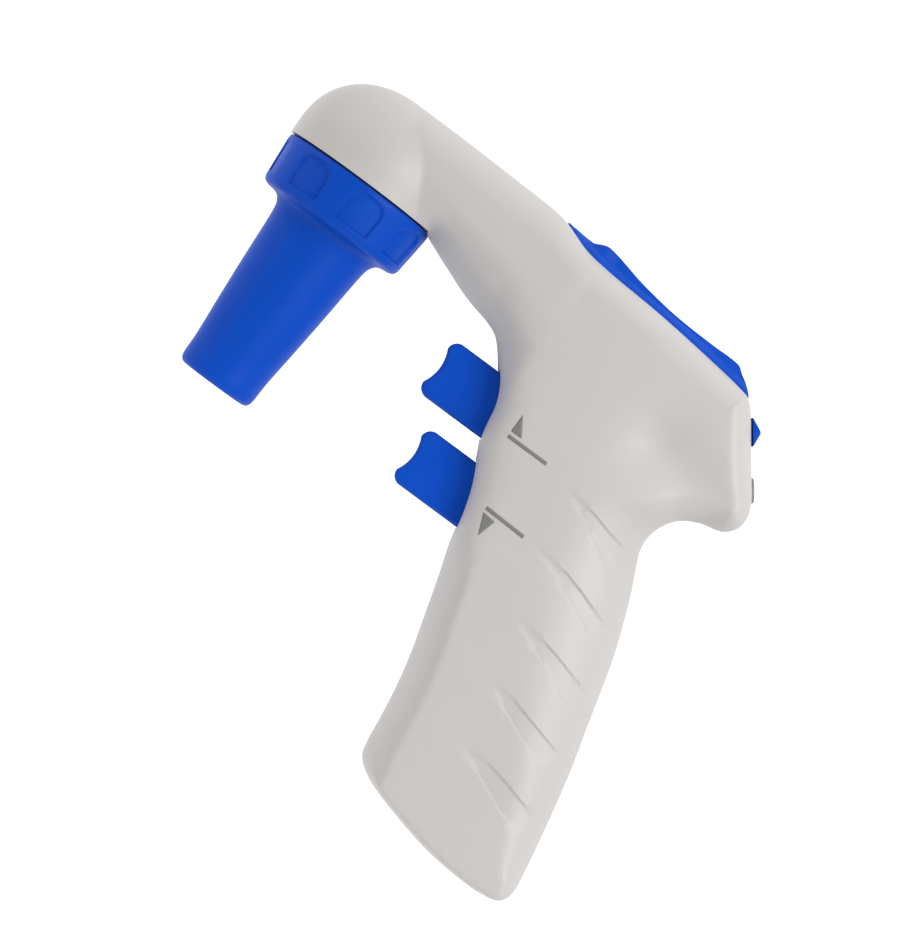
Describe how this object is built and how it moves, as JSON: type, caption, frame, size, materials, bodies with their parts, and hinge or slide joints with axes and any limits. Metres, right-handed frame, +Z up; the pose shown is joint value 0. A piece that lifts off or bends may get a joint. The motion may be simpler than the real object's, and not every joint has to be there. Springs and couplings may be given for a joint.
{
  "type": "motorized pipette controller",
  "caption": "Pistol-grip pipette controller: light grey housing, blue nose cone, two finger triggers, top cover and rear slider; pump, valves and battery inside.",
  "frame": {"origin": "centre of the pipette opening, at the lower end of the adapter's socket in the nose", "axes": "+Z up the nose's axis into the head; +X from the nose to the handle; +Y across the grip, away from the left shell"},
  "size_m": [0.1404, 0.039, 0.1334],
  "materials": {
    "shell": "satin",
    "blue": "satin",
    "silicone": "matte",
    "seal": "matte",
    "white": "satin",
    "inner": "satin",
    "black": "matte",
    "jack": "satin",
    "steel": "brushed",
    "spring": "polished",
    "brass": "satin",
    "board": "satin",
    "cell": "gloss",
    "hose": "matte",
    "wire": "satin"
  },
  "bodies": {
    "housing": {"housing_left": "shell", "housing_right": "shell", "housing_screws": "steel", "top_cover": "blue", "threaded_neck": "inner", "nose_seal": "seal", "aspirate_spring": "spring", "dispense_spring": "spring", "valve_block": "inner", "valve_block_screws": "steel", "main_board": "board", "board_parts": "black", "board_screws": "steel", "aspirate_switch": "black", "dispense_switch": "black", "slide_switch": "black", "charge_jack": "jack", "charge_pin": "steel", "motor_can": "steel", "motor_end_bell": "black", "motor_terminals": "brass", "motor_sleeve": "seal", "pump_frame": "inner", "diaphragm": "seal", "pump_head": "inner", "pump_screws": "steel", "front_cell": "cell", "rear_cell": "cell", "battery_tray": "black", "battery_contacts": "steel", "battery_leads": "wire", "motor_leads": "wire", "nose_hose": "hose", "suction_hose": "hose", "pressure_hose": "hose"},
    "aspirate": {"aspirate_trigger": "blue", "aspirate_stem": "white", "aspirate_stem_seals": "seal"},
    "dispense": {"dispense_trigger": "blue", "dispense_stem": "white", "dispense_stem_seals": "seal"},
    "slider": {"mode_slider": "blue"},
    "nose_carrier": {"pipette_adapter": "silicone", "membrane_filter": "white"},
    "nose": {"nose_cone": "blue"},
    "rotor": {"motor_shaft": "steel", "eccentric": "brass"}
  },
  "joints": [
    {"name": "aspirate_press", "type": "slide", "parent": "housing", "child": "aspirate", "axis": [1, 0, 0], "range_m": [0, 0.004], "stiffness_N_per_m": 400, "springref_m": -0.002, "deforming": ["aspirate_spring"]},
    {"name": "dispense_press", "type": "slide", "parent": "housing", "child": "dispense", "axis": [1, 0, 0], "range_m": [0, 0.004], "stiffness_N_per_m": 400, "springref_m": -0.002, "deforming": ["dispense_spring"]},
    {"name": "mode_slide", "type": "slide", "parent": "housing", "child": "slider", "axis": [0.6011, 0, -0.7992], "range_m": [-0.002, 0.002]},
    {"name": "nose_drop", "type": "slide", "parent": "housing", "child": "nose_carrier", "axis": [0, 0, -1], "range_m": [0, 0.006]},
    {"name": "nose_unscrew", "type": "hinge", "parent": "nose_carrier", "child": "nose", "pos_m": [0, 0, 0.05], "axis": [0, 0, -1], "range_deg": [0, 720]},
    {"name": "motor_spin", "type": "hinge", "parent": "housing", "child": "rotor", "pos_m": [0.06, 0, 0.056], "axis": [1, 0, 0], "continuous": true}
  ],
  "couplings": [
    {"joint": "nose_unscrew", "follows": "nose_drop", "rad_per_m": 2094.4}
  ]
}
